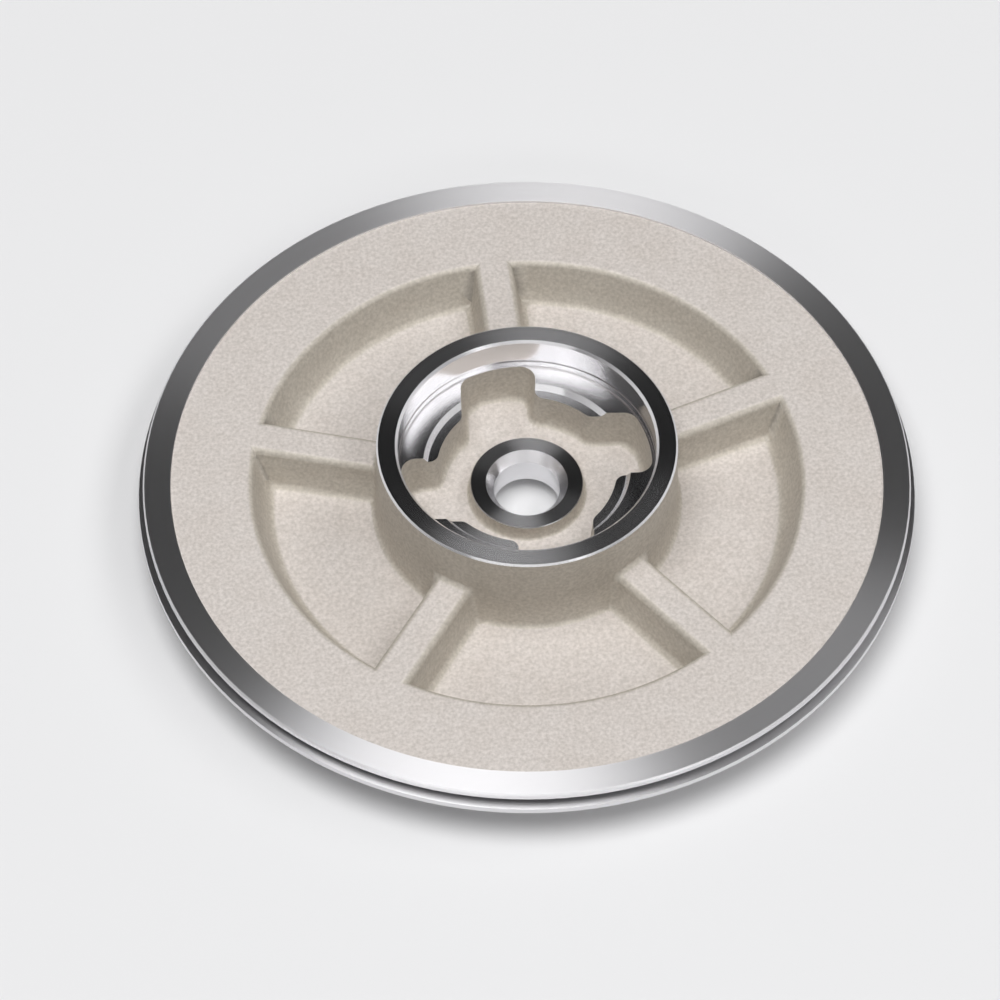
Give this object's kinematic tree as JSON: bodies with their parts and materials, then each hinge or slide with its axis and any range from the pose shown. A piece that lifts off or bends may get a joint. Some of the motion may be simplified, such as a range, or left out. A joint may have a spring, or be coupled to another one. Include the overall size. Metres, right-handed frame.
{
  "type": "turbo seal plate",
  "caption": "Round aluminium seal plate of a turbocharger, with a grooved rim, ribbed casting pockets and a bored cup round the shaft's seal bore.",
  "frame": {"origin": "on the shaft axis, in the plane of the lowest face, which is the foot ring of the back side", "axes": "+Z along the shaft axis from the back side out of the cup's mouth, and +Y along one of the ribs"},
  "size_m": [0.1518, 0.1518, 0.0233],
  "materials": {
    "cast_aluminium": "cast and blasted, with face-turned rim, collar, cup and bore"
  },
  "bodies": {
    "root": {"seal_plate": "cast_aluminium"}
  },
  "joints": []
}
